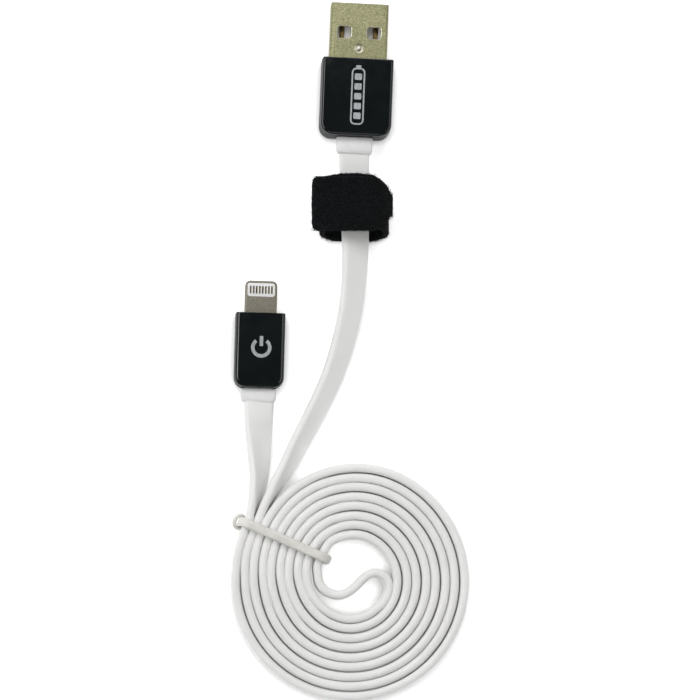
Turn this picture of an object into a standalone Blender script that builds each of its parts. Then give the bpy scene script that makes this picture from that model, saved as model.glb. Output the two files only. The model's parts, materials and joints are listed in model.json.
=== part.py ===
"""A flat charging cable, wound up: a USB plug at one end and a small reversible phone plug at the other,
a hook-and-loop strap round the cable below the USB plug, and a rubber tie round the coil.

Units are metres, +Z up, and the whole thing lies on z = 0. Everything is laid out from the middle of the
coil; the root empty then moves it so that the plugs, strap and tie together stand centred on the origin.
The plugs point along +Y. Each plug is built in its own frame: +Y out of the plug, z = 0 on its mid plane,
y = 0 at the front face of its cover.
"""

import math

import bmesh
import bpy
from mathutils import Matrix, Vector

MM = 0.001
GAP = 0.3 * MM          # between soft pieces and what they touch
FIT = 0.1 * MM          # between the fitted pieces of a plug

# The cable: a flat section, with its upright turns lifted where the tie passes under them
CABLE_WIDTH = 6.3 * MM
CABLE_THICK = 1.8 * MM
COIL_OUTER = 24.8 * MM
COIL_INNER = 7.2 * MM
COIL_EDGE = 0.7 * MM
COIL_STEPS = 64

# The rubber tie: a flat closed band round one side of the coil
TIE_WIDTH = 2.0 * MM
TIE_THICK = 1.15 * MM
TIE_OUTER_END = Vector((-22.35 * MM, 12.65 * MM, 0))
TIE_INNER_END = Vector((-4.60 * MM, 4.31 * MM, 0))
TIE_BEND = 2.2 * MM
LIFT = TIE_THICK + GAP
LIFT_FLAT = 4.0 * MM    # the turns lie level on the tie this far to each side of it
LIFT_FADE = 16.0 * MM   # and come down to the floor over this distance

# The hook-and-loop strap
TAPE_WIDTH = 11.6 * MM
TAPE_THICK = 1.2 * MM
STRAP_Y = 78.4 * MM
STRAP_LEFT, STRAP_RIGHT = -6.3 * MM, 7.5 * MM
STRAP_TOP = 8.3 * MM
STRAP_CORNER = 3.6 * MM
FLAP_HINGE_X = -2.6 * MM
HOOK_THICK = 0.35 * MM

# The USB plug
USB_PLACE = Vector((1.64 * MM, 108.5 * MM, 3.75 * MM))
USB_LEAN = math.radians(-2.2)
USB_COVER = Vector((14.9 * MM, 16.3 * MM, 7.5 * MM))
USB_COVER_WALL = 1.1 * MM
USB_COVER_CORNER = 2.3 * MM
SHELL = Vector((12.0 * MM, 18.0 * MM, 4.5 * MM))
SHELL_OUT = 11.7 * MM
SHELL_WALL = 0.3 * MM
WINDOW = Vector((2.75 * MM, 2.4 * MM))
WINDOW_X = 3.1 * MM
WINDOW_FROM_TIP = 6.2 * MM
TONGUE_WIDTH = 11.1 * MM
TONGUE_OUT = 11.2 * MM
USB_CONTACTS = (        # name, place across the tongue, how far it reaches out
    ("power", 3.5 * MM, 10.4 * MM),
    ("data_minus", 1.0 * MM, 9.4 * MM),
    ("data_plus", -1.0 * MM, 9.4 * MM),
    ("ground", -3.5 * MM, 10.4 * MM),
)
USB_CONTACT_WIDTH = 1.0 * MM
USB_CONTACT_THICK = 0.15 * MM
USB_COLLAR = Vector((7.6 * MM, 3.4 * MM, 3.0 * MM))

# The phone plug
PHONE_PLACE = Vector((-18.48 * MM, 55.4 * MM, 3.0 * MM))
PHONE_LEAN = math.radians(-1.5)
PHONE_COVER = Vector((10.4 * MM, 15.6 * MM, 6.0 * MM))
PHONE_COVER_WALL = 1.0 * MM
PHONE_COVER_CORNER = 2.2 * MM
TAB = Vector((6.7 * MM, 10.8 * MM, 1.5 * MM))
TAB_OUT = 6.8 * MM
TAB_CORNER = 1.0 * MM
TAB_WINDOW = Vector((5.8 * MM, 2.9 * MM))
TAB_WINDOW_FROM_TIP = 0.45 * MM
PHONE_CONTACTS = 8
PHONE_CONTACT_PITCH = 0.63 * MM
PHONE_CONTACT = Vector((0.32 * MM, 1.6 * MM, 0.12 * MM))
BOARD = Vector((5.0 * MM, 13.6 * MM, 0.5 * MM))
PHONE_COLLAR = Vector((7.4 * MM, 2.8 * MM, 2.7 * MM))

WIRE_RADIUS = 0.35 * MM
WIRE_PITCH = 0.85 * MM
WIRE_COLOURS = ("red", "white", "green", "black")

# Each route point: x and y in mm from the coil's middle, the turn in degrees from lying flat to standing on
# edge, and how far the cable is held above its lowest place, in mm
USB_TAIL = (
    (0.93, 88.2, 0, 2.85), (0.97, 85.0, 2, 2.30), (1.05, 81.2, 8, 1.65), (1.12, 77.2, 17, 1.45),
    (1.17, 73.4, 26, 1.45), (1.18, 69.8, 31, 1.45), (1.10, 66.2, 34, 1.35), (0.90, 62.4, 38, 1.00),
    (0.50, 58.4, 41, 0.60), (-0.20, 54.2, 44, 0.25), (-1.20, 50.1, 47, 0.05), (-2.45, 45.9, 51, 0),
    (-3.95, 41.8, 54, 0), (-5.85, 37.6, 57, 0), (-7.95, 33.4, 59, 0), (-10.10, 29.3, 61, 0),
    (-12.25, 25.1, 65, 0), (-13.10, 23.4, 67, 0),
)
PHONE_TAIL = (
    (-18.80, 36.6, 4, 2.10), (-18.80, 33.9, 20, 1.50), (-18.80, 31.4, 27, 0.95), (-18.75, 28.6, 37, 0.45),
    (-18.72, 26.0, 45, 0.20), (-18.70, 23.4, 53, 0.05), (-18.80, 20.9, 60, 0), (-19.25, 18.2, 68, 0),
)
CENTER_BEND = (
    (-5.14, -2.00, 90, 0), (-2.75, -2.87, 90, 0), (-0.83, -2.48, 90, 0), (0.92, -1.21, 90, 0),
    (2.52, 0.40, 90, 0), (3.93, 1.44, 90, 0), (5.37, 1.71, 90, 0),
)
TAIL_SPACING = 2.6 * MM
BEND_SPACING = 1.0 * MM


# Scene, materials and small helpers

def clear_scene():
    for thing in list(bpy.data.objects):
        bpy.data.objects.remove(thing)


def collection(name):
    made = bpy.data.collections.new(name)
    bpy.context.scene.collection.children.link(made)
    return made


clear_scene()
PARTS = collection("charging_cable")
CUTTERS = collection("cutters")


def material(name, colour, roughness, metallic=0.0):
    made = bpy.data.materials.new(name)
    made.use_nodes = True
    shader = made.node_tree.nodes["Principled BSDF"]
    shader.inputs["Base Color"].default_value = (*colour, 1)
    shader.inputs["Roughness"].default_value = roughness
    shader.inputs["Metallic"].default_value = metallic
    made.diffuse_color = (*colour, 1)
    return made


def empty(name, place, parent=None, turn=0.0):
    made = bpy.data.objects.new(name, None)
    made.empty_display_size = 5 * MM
    made.parent = parent
    made.location = place
    made.rotation_euler = (0, 0, turn)
    PARTS.objects.link(made)
    return made


def add(name, data, paint, parent):
    """An object of that mesh or curve, in its own copy of the material, under the parent."""
    made = bpy.data.objects.new(name, data)
    made.parent = parent
    own = paint.copy()
    own.name = name
    data.materials.append(own)
    PARTS.objects.link(made)
    return made


def block_mesh(name, size, middle, corners=(), corner_radius=0.0, edge=0.0):
    """A box. The upright edges named in corners, as (sign of x, sign of y), are rounded to corner_radius, and
    then every sharp edge is broken by edge."""
    bm = bmesh.new()
    bmesh.ops.create_cube(bm, size=1.0, matrix=Matrix.Diagonal((*size, 1)))
    upright = [e for e in bm.edges if abs(e.verts[0].co.z - e.verts[1].co.z) > size[2] / 2]
    chosen = [e for e in upright
              if any(e.verts[0].co.x * sx > 0 and e.verts[0].co.y * sy > 0 for sx, sy in corners)]
    if chosen:
        bmesh.ops.bevel(bm, geom=chosen, offset=corner_radius, segments=5, profile=0.5, affect="EDGES")
    if edge:
        sharp = [e for e in bm.edges if e.calc_face_angle(0) > math.radians(40)]
        bmesh.ops.bevel(bm, geom=sharp, offset=edge, segments=2, profile=0.5, affect="EDGES")
    bmesh.ops.translate(bm, verts=bm.verts, vec=middle)
    mesh = bpy.data.meshes.new(name)
    bm.to_mesh(mesh)
    bm.free()
    return mesh


def block(name, size, middle, paint, parent, **shape):
    return add(name, block_mesh(name, size, middle, **shape), paint, parent)


def tool_block(name, size, middle, parent, **shape):
    """A box that only cuts or joins, and isn't a part."""
    made = bpy.data.objects.new(name, block_mesh(name, size, middle, **shape))
    made.parent = parent
    made.hide_render = True
    made.display_type = "WIRE"
    CUTTERS.objects.link(made)
    return made


def combine(target, tool, operation):
    modifier = target.modifiers.new(f"{operation.lower()}_{tool.name}", "BOOLEAN")
    modifier.operation = operation
    modifier.object = tool


def smooth_line(points, spacing):
    """Points about that far apart along a Catmull-Rom curve through the given ones, which may have any number
    of values each; the first two are x and y in mm."""
    line = []
    last = len(points) - 1
    for i in range(last):
        before, start, end, after = (points[max(i - 1, 0)], points[i], points[i + 1],
                                     points[min(i + 2, last)])
        steps = max(1, round(math.dist(start[:2], end[:2]) * MM / spacing))
        for k in range(steps):
            t = k / steps
            line.append(tuple(
                0.5 * (2 * b + (c - a) * t + (2 * a - 5 * b + 4 * c - d) * t * t
                       + (3 * b - a - 3 * c + d) * t ** 3)
                for a, b, c, d in zip(before, start, end, after)))
    return line + [points[-1]]


def lift_at(x, y):
    """How far an upright turn of the cable is raised by the tie that passes under it."""
    along = TIE_INNER_END - TIE_OUTER_END
    here = Vector((x, y, 0))
    share = min(1, max(0, (here - TIE_OUTER_END).dot(along) / along.length_squared))
    away = (here - TIE_OUTER_END - share * along).length
    t = min(1, max(0, (away - LIFT_FLAT) / LIFT_FADE))
    return LIFT * (1 - t * t * (3 - 2 * t))


def band_curve(name, points, tilts, width, thick, cyclic=False):
    """A flat band with round edges along a line of points. A tilt of zero stands it on edge."""
    curve = bpy.data.curves.new(name, "CURVE")
    curve.dimensions = "3D"
    curve.fill_mode = "FULL"
    curve.twist_mode = "MINIMUM" if cyclic else "Z_UP"
    curve.extrude = (width - thick) / 2
    curve.bevel_depth = thick / 2
    curve.bevel_resolution = 1
    curve.use_fill_caps = True
    spline = curve.splines.new("POLY")
    spline.points.add(len(points) - 1)
    for knot, place, tilt in zip(spline.points, points, tilts):
        knot.co = (*place, 1)
        knot.tilt = tilt
    spline.use_cyclic_u = cyclic
    return curve


def cable_piece(name, route, spacing, paint, parent):
    """A stretch of the flat cable, lying on the floor except where its route holds it up."""
    places, tilts = [], []
    for x, y, turn, held in smooth_line(route, spacing):
        turn = math.radians(turn)
        lowest = CABLE_THICK / 2 + (CABLE_WIDTH - CABLE_THICK) / 2 * math.sin(turn)
        x, y = x * MM, y * MM
        places.append((x, y, lowest + lift_at(x, y) + held * MM))
        tilts.append(math.pi / 2 - turn)
    curve = band_curve(name, places, tilts, CABLE_WIDTH, CABLE_THICK)
    return add(name, curve, paint, parent)


def arc(middle, radius, start, end, steps):
    """Points of an arc, with its angles in degrees."""
    angles = [math.radians(start + (end - start) * i / steps) for i in range(steps + 1)]
    return [(middle[0] + radius * math.cos(a), middle[1] + radius * math.sin(a)) for a in angles]


def rounded_rectangle(left, right, bottom, top, radius, steps):
    return [point
            for x, y, start in ((right - radius, top - radius, 0), (left + radius, top - radius, 90),
                                (left + radius, bottom + radius, 180), (right - radius, bottom + radius, 270))
            for point in arc((x, y), radius, start, start + 90, steps)]


def flat_curve(name, outlines, height):
    """The area between flat outlines, as thick as height, centred on its own z = 0."""
    curve = bpy.data.curves.new(name, "CURVE")
    curve.dimensions = "2D"
    curve.fill_mode = "BOTH"
    curve.extrude = height / 2
    for outline in outlines:
        spline = curve.splines.new("POLY")
        spline.points.add(len(outline) - 1)
        for knot, (x, y) in zip(spline.points, outline):
            knot.co = (x, y, 0, 1)
        spline.use_cyclic_u = True
    return curve


def beside(line, distance):
    """The line moved sideways by that distance, to the left of the way it runs."""
    moved = []
    for i, (x, y) in enumerate(line):
        ahead = Vector(line[min(i + 1, len(line) - 1)]) - Vector(line[max(i - 1, 0)])
        across = Vector((-ahead.y, ahead.x)).normalized() * distance
        moved.append((x + across.x, y + across.y))
    return moved


def strip_outline(line, thick):
    """The outline of a strip of that thickness whose middle follows the line."""
    return beside(line, thick / 2) + beside(line, -thick / 2)[::-1]


# Materials

WHITE_JACKET = material("white_jacket", (0.80, 0.80, 0.79), 0.45)
BLACK_GLOSS = material("black_gloss", (0.008, 0.010, 0.011), 0.12)
WHITE_PLASTIC = material("white_plastic", (0.82, 0.82, 0.81), 0.40)
GREEN_BOARD = material("green_board", (0.02, 0.16, 0.06), 0.50)
BLACK_CHIP = material("black_chip", (0.02, 0.02, 0.02), 0.60)
CERAMIC = material("ceramic", (0.45, 0.33, 0.20), 0.50)
NICKEL = material("nickel", (0.42, 0.41, 0.27), 0.32, 1.0)
STEEL = material("steel", (0.34, 0.32, 0.27), 0.35, 1.0)
GOLD = material("gold", (0.62, 0.42, 0.14), 0.30, 1.0)
BLACK_TAPE = material("black_tape", (0.010, 0.012, 0.013), 0.95)
RUBBER = material("rubber", (0.70, 0.69, 0.64), 0.60)
WIRE_PAINTS = {
    "red": material("wire_red", (0.60, 0.03, 0.02), 0.4),
    "white": material("wire_white", (0.80, 0.80, 0.80), 0.4),
    "green": material("wire_green", (0.03, 0.35, 0.08), 0.4),
    "black": material("wire_black", (0.02, 0.02, 0.02), 0.4),
}


# What both plugs have

def cover_half(prefix, side, cover, wall, corner, mouth, neck, parent):
    """Half of a plug's cover, split at the mid plane, with a mouth in front and a neck behind."""
    name = f"{prefix}_{'upper' if side > 0 else 'lower'}_cover"
    width, length, height = cover
    half = height / 2
    deep = half - FIT / 2
    part = block(name, (width, length, deep), (0, -length / 2, side * (FIT / 2 + deep / 2)), BLACK_GLOSS,
                 parent, corners=((-1, -1), (1, -1)), corner_radius=corner, edge=0.25 * MM)
    inside = (width - 2 * wall, length - 2 * wall, 2 * (half - wall))
    combine(part, tool_block(f"{name}_inside", inside, (0, -length / 2, 0), parent), "DIFFERENCE")
    for where, size, y in (("mouth", mouth, 0), ("neck", neck, -length)):
        hole = (size[0] + 2 * FIT, 3 * wall, size[1] + 2 * FIT)
        combine(part, tool_block(f"{name}_{where}", hole, (0, y, 0), parent), "DIFFERENCE")
    return part


def collar(name, size, neck, cover, wall, parent):
    """The soft strain relief: the block that shows, a neck through the cover and a flange inside it."""
    y = -cover[1]
    part = block(name, size, (0, y - FIT - size[1] / 2, 0), WHITE_PLASTIC, parent, edge=0.5 * MM)
    neck_length = wall + 2 * FIT
    overlap = 0.2 * MM
    combine(part, tool_block(f"{name}_neck", (neck[0], neck_length + 2 * overlap, neck[1]),
                             (0, y - FIT + neck_length / 2, 0), parent), "UNION")
    flange = (neck[0] + 1.2 * MM, 1.0 * MM, neck[1] + 0.8 * MM)
    combine(part, tool_block(f"{name}_flange", flange,
                             (0, y + wall + FIT + flange[1] / 2, 0), parent), "UNION")
    return y + wall + FIT + flange[1]


def wires(prefix, starts, start_y, end_y, drop, parent):
    """Four wires from the contacts or the board back to the collar, where they draw together."""
    for i, (colour, x) in enumerate(zip(WIRE_COLOURS, starts)):
        end_x = (1.5 - i) * WIRE_PITCH
        run = start_y - end_y
        line = [(x, start_y, drop), (x, start_y - 0.25 * run, drop), (end_x, start_y - 0.7 * run, 0),
                (end_x, end_y, 0)]
        curve = bpy.data.curves.new(f"{prefix}_wire_{colour}", "CURVE")
        curve.dimensions = "3D"
        curve.bevel_depth = WIRE_RADIUS
        curve.bevel_resolution = 2
        curve.use_fill_caps = True
        spline = curve.splines.new("POLY")
        spline.points.add(len(line) - 1)
        for knot, place in zip(spline.points, line):
            knot.co = (*place, 1)
        add(f"{prefix}_wire_{colour}", curve, WIRE_PAINTS[colour], parent)


# The USB plug

def usb_shell(plug):
    middle_y = SHELL_OUT - SHELL.y / 2
    part = block("usb_shell", SHELL, (0, middle_y, 0), NICKEL, plug)
    hollow = (SHELL.x - 2 * SHELL_WALL, SHELL.y + 2 * MM, SHELL.z - 2 * SHELL_WALL)
    combine(part, tool_block("usb_shell_hollow", hollow, (0, middle_y, 0), plug), "DIFFERENCE")
    for side in (-1, 1):
        window = tool_block(f"usb_shell_window_{side}", (WINDOW.x, WINDOW.y, SHELL.z + 2 * MM),
                            (side * WINDOW_X, SHELL_OUT - WINDOW_FROM_TIP, 0), plug,
                            corners=((-1, -1), (-1, 1), (1, -1), (1, 1)), corner_radius=0.5 * MM)
        combine(part, window, "DIFFERENCE")


def usb_inside(plug):
    floor = -SHELL.z / 2 + SHELL_WALL + FIT
    rear = SHELL_OUT - SHELL.y
    top = -0.1 * MM
    block("usb_tongue", (TONGUE_WIDTH, TONGUE_OUT - rear - FIT, top - floor),
          (0, (TONGUE_OUT + rear + FIT) / 2, (top + floor) / 2), WHITE_PLASTIC, plug)
    low = top + 0.05 * MM
    tail = rear - 1.0 * MM
    for name, x, out in USB_CONTACTS:
        block(f"usb_contact_{name}", (USB_CONTACT_WIDTH, out - tail, USB_CONTACT_THICK),
              (x, (out + tail) / 2, low + USB_CONTACT_THICK / 2), GOLD, plug)
    mould_low = low + USB_CONTACT_THICK + 0.05 * MM
    mould_high = SHELL.z / 2 - SHELL_WALL - FIT
    block("usb_inner_mould", (TONGUE_WIDTH, 5.6 * MM, mould_high - mould_low),
          (0, rear + FIT + 2.8 * MM, (mould_low + mould_high) / 2), WHITE_PLASTIC, plug)
    return tail


def usb_plug(root):
    plug = empty("usb_plug", USB_PLACE, root, USB_LEAN)
    neck = (6.2 * MM, 2.2 * MM)
    usb_shell(plug)
    tail = usb_inside(plug)
    for side in (1, -1):
        cover_half("usb", side, USB_COVER, USB_COVER_WALL, USB_COVER_CORNER, (SHELL.x, SHELL.z), neck, plug)
    end = collar("usb_collar", USB_COLLAR, neck, USB_COVER, USB_COVER_WALL, plug)
    wires("usb", [x for _, x, _ in USB_CONTACTS], tail - FIT, end + FIT, 0.05 * MM, plug)


# The phone plug

def phone_frame(plug):
    """The metal frame: a round-cornered tab and, inside the cover, a flange that holds it."""
    corners = ((-1, 1), (1, 1))
    part = block("phone_plug_frame", TAB, (0, TAB_OUT - TAB.y / 2, 0), STEEL, plug,
                 corners=corners, corner_radius=TAB_CORNER)
    rear = TAB_OUT - TAB.y
    combine(part, tool_block("phone_flange", (8.0 * MM, 2.0 * MM, 2.6 * MM), (0, rear + 1.0 * MM, 0), plug),
            "UNION")
    window_y = TAB_OUT - TAB_WINDOW_FROM_TIP - TAB_WINDOW.y / 2
    combine(part, tool_block("phone_window", (TAB_WINDOW.x, TAB_WINDOW.y, 3 * MM), (0, window_y, 0), plug,
                             corners=corners + ((-1, -1), (1, -1)), corner_radius=0.5 * MM), "DIFFERENCE")
    slot = (BOARD.x + 0.3 * MM, window_y - rear + 1 * MM, BOARD.z + 0.3 * MM)
    combine(part, tool_block("phone_slot", slot, (0, (window_y + rear - 1 * MM) / 2, 0), plug), "DIFFERENCE")
    return window_y


def phone_inside(plug, window_y):
    core = (TAB_WINDOW.x - 2 * FIT, TAB_WINDOW.y - 2 * FIT, TAB.z - 2 * PHONE_CONTACT.z - 0.06 * MM)
    block("phone_plug_core", core, (0, window_y, 0), WHITE_PLASTIC, plug,
          corners=((-1, -1), (-1, 1), (1, -1), (1, 1)), corner_radius=0.5 * MM)
    for side, word in ((1, "top"), (-1, "bottom")):
        for i in range(PHONE_CONTACTS):
            x = (i - (PHONE_CONTACTS - 1) / 2) * PHONE_CONTACT_PITCH
            z = side * (core[2] / 2 + 0.03 * MM + PHONE_CONTACT.z / 2)
            block(f"phone_contact_{word}_{i + 1}", PHONE_CONTACT, (x, window_y, z), GOLD, plug)
    front = window_y - TAB_WINDOW.y / 2 - FIT
    board_y = front - BOARD.y / 2
    block("phone_circuit_board", BOARD, (0, board_y, 0), GREEN_BOARD, plug)
    top = BOARD.z / 2 + 0.05 * MM
    behind = TAB_OUT - TAB.y - 1.2 * MM
    block("phone_controller_chip", (3.0 * MM, 2.6 * MM, 0.7 * MM), (-0.6 * MM, behind - 1.3 * MM,
          top + 0.35 * MM), BLACK_CHIP, plug, edge=0.08 * MM)
    for number, side in ((1, 1), (2, -1)):
        block(f"phone_capacitor_{number}", (0.6 * MM, 1.1 * MM, 0.5 * MM),
              (1.7 * MM, behind - 1.2 * MM, side * (top + 0.25 * MM)), CERAMIC, plug)
    return front - BOARD.y


def phone_plug(root):
    plug = empty("phone_plug", PHONE_PLACE, root, PHONE_LEAN)
    neck = (6.0 * MM, 2.0 * MM)
    board_end = phone_inside(plug, phone_frame(plug))
    for side in (1, -1):
        cover_half("phone", side, PHONE_COVER, PHONE_COVER_WALL, PHONE_COVER_CORNER, (TAB.x, TAB.z), neck,
                   plug)
    end = collar("phone_collar", PHONE_COLLAR, neck, PHONE_COVER, PHONE_COVER_WALL, plug)
    wires("phone", [x * MM for x in (1.8, 0.6, -0.6, -1.8)], board_end - FIT, end + FIT, 0, plug)


# The cable

def cable_coil(root):
    """The outer shape of the wound turns, standing on edge, raised where the tie passes under it."""
    profile = rounded_rectangle(COIL_INNER, COIL_OUTER, 0, CABLE_WIDTH, COIL_EDGE, 2)
    bm = bmesh.new()
    points = [bm.verts.new((x, 0, z)) for x, z in profile]
    edges = [bm.edges.new((a, b)) for a, b in zip(points, points[1:] + points[:1])]
    bmesh.ops.spin(bm, geom=points + edges, axis=(0, 0, 1), cent=(0, 0, 0), angle=2 * math.pi,
                   steps=COIL_STEPS, use_merge=True)
    bmesh.ops.remove_doubles(bm, verts=bm.verts, dist=0.01 * MM)
    bmesh.ops.recalc_face_normals(bm, faces=bm.faces)
    for vertex in bm.verts:
        vertex.co.z += lift_at(vertex.co.x, vertex.co.y)
    mesh = bpy.data.meshes.new("cable_coil")
    bm.to_mesh(mesh)
    bm.free()
    mesh.shade_smooth()
    add("cable_coil", mesh, WHITE_JACKET, root)


def cable(root):
    cable_piece("cable_usb_tail", USB_TAIL, TAIL_SPACING, WHITE_JACKET, root)
    cable_piece("cable_phone_tail", PHONE_TAIL, TAIL_SPACING, WHITE_JACKET, root)
    cable_piece("cable_center_bend", CENTER_BEND, BEND_SPACING, WHITE_JACKET, root)
    cable_coil(root)


# What moves

def coil_tie(root):
    """A closed rubber band: over the turns, down outside them, back under and up through the middle."""
    pivot = empty("coil_tie_pivot", (0, 0, 0), root)
    along = TIE_INNER_END - TIE_OUTER_END
    top = CABLE_WIDTH + LIFT + GAP + TIE_THICK / 2
    outline = rounded_rectangle(0, along.length, TIE_THICK / 2, top, TIE_BEND, 4)
    places = [TIE_OUTER_END + along.normalized() * x + Vector((0, 0, z)) for x, z in outline]
    curve = band_curve("coil_tie", places, [math.pi / 2] * len(places), TIE_WIDTH, TIE_THICK, cyclic=True)
    add("coil_tie", curve, RUBBER, pivot)


def tape(name, outlines, paint, parent, place):
    """A piece of tape whose edge-on outline is drawn in x and z, TAPE_WIDTH wide along y."""
    part = add(name, flat_curve(name, outlines, TAPE_WIDTH), paint, parent)
    part.rotation_euler = (math.pi / 2, 0, 0)
    part.location = -place
    part.location.y += STRAP_Y
    return part


def strap(root):
    """An inner loop of tape round the cable, a second layer over it, and its free end, which peels open."""
    slide = empty("strap_slide", (0, STRAP_Y, 0), root)
    loop = [rounded_rectangle(STRAP_LEFT + inset, STRAP_RIGHT - inset, inset, STRAP_TOP - inset,
                              STRAP_CORNER - inset, 5) for inset in (0, TAPE_THICK)]
    tape("strap_loop", loop, BLACK_TAPE, slide, Vector((0, STRAP_Y, 0)))
    out = 0.1 * MM + TAPE_THICK / 2
    side, roof = STRAP_RIGHT + out, STRAP_TOP + out
    bend = STRAP_CORNER + out
    layer = ([(side, 3.0 * MM)] + arc((side - bend, roof - bend), bend, 0, 90, 6)
             + [(FLAP_HINGE_X + 0.15 * MM, roof)])
    tape("strap_outer_layer", [strip_outline(layer, TAPE_THICK)], BLACK_TAPE, slide, Vector((0, STRAP_Y, 0)))
    hinge = Vector((FLAP_HINGE_X, STRAP_Y, roof + TAPE_THICK / 2))
    flap_pivot = empty("strap_flap_pivot", hinge - slide.location, slide)
    droop = [(FLAP_HINGE_X - 0.15 * MM, roof), (-4.2 * MM, roof), (-5.6 * MM, roof - 0.25 * MM),
             (-6.9 * MM, roof - 0.75 * MM), (-7.7 * MM, roof - 1.35 * MM)]
    tape("strap_flap", [strip_outline(droop, TAPE_THICK)], BLACK_TAPE, flap_pivot, hinge)
    hooks = beside(droop, TAPE_THICK / 2 + 0.03 * MM + HOOK_THICK / 2)[1:]
    tape("strap_hook_pad", [strip_outline(hooks, HOOK_THICK)], BLACK_TAPE, flap_pivot, hinge)


def stand_on_origin(root):
    """Moves everything so that the plugs, strap and tie, without the cable, are centred on the origin."""
    bpy.context.view_layer.update()
    corners = [thing.matrix_world @ Vector(corner)
               for thing in PARTS.objects if thing.type != "EMPTY" and not thing.name.startswith("cable_")
               for corner in thing.bound_box]
    for axis in (0, 1):
        values = [corner[axis] for corner in corners]
        root.location[axis] = -(min(values) + max(values)) / 2


def main():
    root = empty("cable_root", (0, 0, 0))
    usb_plug(root)
    phone_plug(root)
    cable(root)
    coil_tie(root)
    strap(root)
    stand_on_origin(root)


main()
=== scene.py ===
"""The looks of a flat charging cable: the cable wound turn by turn, its rubber tie, its hook-and-loop strap
and both plugs in detail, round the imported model. Metres, +Z up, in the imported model's own frame."""

import json
import math
import random

import bmesh
import bpy
from mathutils import Matrix, Vector, noise


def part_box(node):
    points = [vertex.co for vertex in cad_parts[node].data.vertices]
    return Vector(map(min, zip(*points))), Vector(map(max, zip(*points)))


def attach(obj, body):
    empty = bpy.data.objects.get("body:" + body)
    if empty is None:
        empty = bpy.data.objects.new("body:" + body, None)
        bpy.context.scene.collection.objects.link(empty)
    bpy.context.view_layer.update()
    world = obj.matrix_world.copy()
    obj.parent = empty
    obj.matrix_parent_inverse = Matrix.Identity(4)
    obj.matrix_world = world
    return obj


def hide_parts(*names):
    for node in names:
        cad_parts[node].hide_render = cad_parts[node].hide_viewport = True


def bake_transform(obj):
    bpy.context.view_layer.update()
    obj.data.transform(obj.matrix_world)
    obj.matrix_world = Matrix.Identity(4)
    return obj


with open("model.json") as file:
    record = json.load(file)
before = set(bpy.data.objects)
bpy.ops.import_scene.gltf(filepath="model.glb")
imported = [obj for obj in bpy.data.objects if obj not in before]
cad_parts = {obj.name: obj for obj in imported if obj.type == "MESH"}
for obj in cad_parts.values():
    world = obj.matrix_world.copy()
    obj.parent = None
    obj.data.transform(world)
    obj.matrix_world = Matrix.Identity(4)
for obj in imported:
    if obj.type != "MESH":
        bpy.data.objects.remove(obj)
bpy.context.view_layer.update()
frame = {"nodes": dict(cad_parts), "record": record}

MM = 0.001
UP = Vector((0, 0, 1))


# Places

def middle_of(node):
    low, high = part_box(node)
    return (low + high) / 2


COIL_X, COIL_Y, _ = middle_of("cable_coil")


def place(x, y, z=0.0):
    """The point that is x, y, z mm from the middle of the coil, on the floor."""
    return Vector((COIL_X + x * MM, COIL_Y + y * MM, z * MM))


def plug_frame(mount, upper_cover, lower_cover):
    """A plug's own frame, in mm: +Y out of the plug, y = 0 at its shoulder, z = 0 on its mid plane."""
    shoulder = next(m for m in frame["record"]["mounts"] if m["name"] == mount)
    ahead = Vector(shoulder["axis"]).normalized()
    height = (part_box(upper_cover)[1].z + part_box(lower_cover)[0].z) / 2
    made = Matrix((ahead.cross(UP), ahead, UP)).transposed().to_4x4()
    made.translation = Vector((*shoulder["pos_m"][:2], height))
    return made @ Matrix.Scale(MM, 4)


USB = plug_frame("usb_shoulder", "usb_upper_cover", "usb_lower_cover")
PHONE = plug_frame("phone_plug_shoulder", "phone_upper_cover", "phone_lower_cover")


# Camera, light and floor

CAMERA_AIM = place(0.05, 47.85, 4.0)
CAMERA_PLACE = CAMERA_AIM + Vector((-0.0488, -0.0697, 0.7955))
LENS = 198.6


def new_object(name, data):
    made = bpy.data.objects.new(name, data)
    bpy.context.scene.collection.objects.link(made)
    return made


def look(thing, target, head=Vector((0, 1, 0))):
    """Turns a camera or a light to face the target, with head towards the top of its picture."""
    back = (thing.location - target).normalized()
    right = head.cross(back).normalized()
    thing.matrix_world = (Matrix.Translation(thing.location)
                          @ Matrix((right, back.cross(right), back)).transposed().to_4x4())


def add_camera():
    camera = new_object("camera", bpy.data.cameras.new("camera"))
    camera.data.lens = LENS
    camera.location = CAMERA_PLACE
    look(camera, CAMERA_AIM)
    bpy.context.scene.camera = camera


def softbox(name, direction, distance, width, height, power):
    light = bpy.data.lights.new(name, "AREA")
    light.shape = "RECTANGLE"
    light.size, light.size_y = width, height
    light.energy = power
    made = new_object(name, light)
    made.location = CAMERA_AIM + Vector(direction).normalized() * distance
    look(made, CAMERA_AIM)


def studio():
    """Soft boxes all round, none of them overhead, so that the flat black faces mirror a dark ceiling."""
    softbox("light_back", (-0.15, 1.0, 1.45), 1.0, 0.75, 0.45, 4.1)
    softbox("light_left", (-1.0, 0.15, 1.45), 0.9, 0.24, 0.6, 3.2)
    softbox("light_right", (1.0, 0.1, 1.45), 0.9, 0.45, 0.7, 1.5)
    softbox("light_front", (-0.1, -1.0, 1.45), 1.0, 0.45, 0.12, 0.7)
    world = bpy.data.worlds.new("studio")
    world.use_nodes = True
    sky = Nodes(world.node_tree)
    grey = sky.ramp(sky.split(sky.source("Generated"), "Z"), (0.15, 0.50), (0.80, 0.03))
    sky.feed(sky.nodes["Background"].inputs["Color"], grey)
    bpy.context.scene.world = world
    bpy.context.scene.view_settings.view_transform = "Standard"


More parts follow.
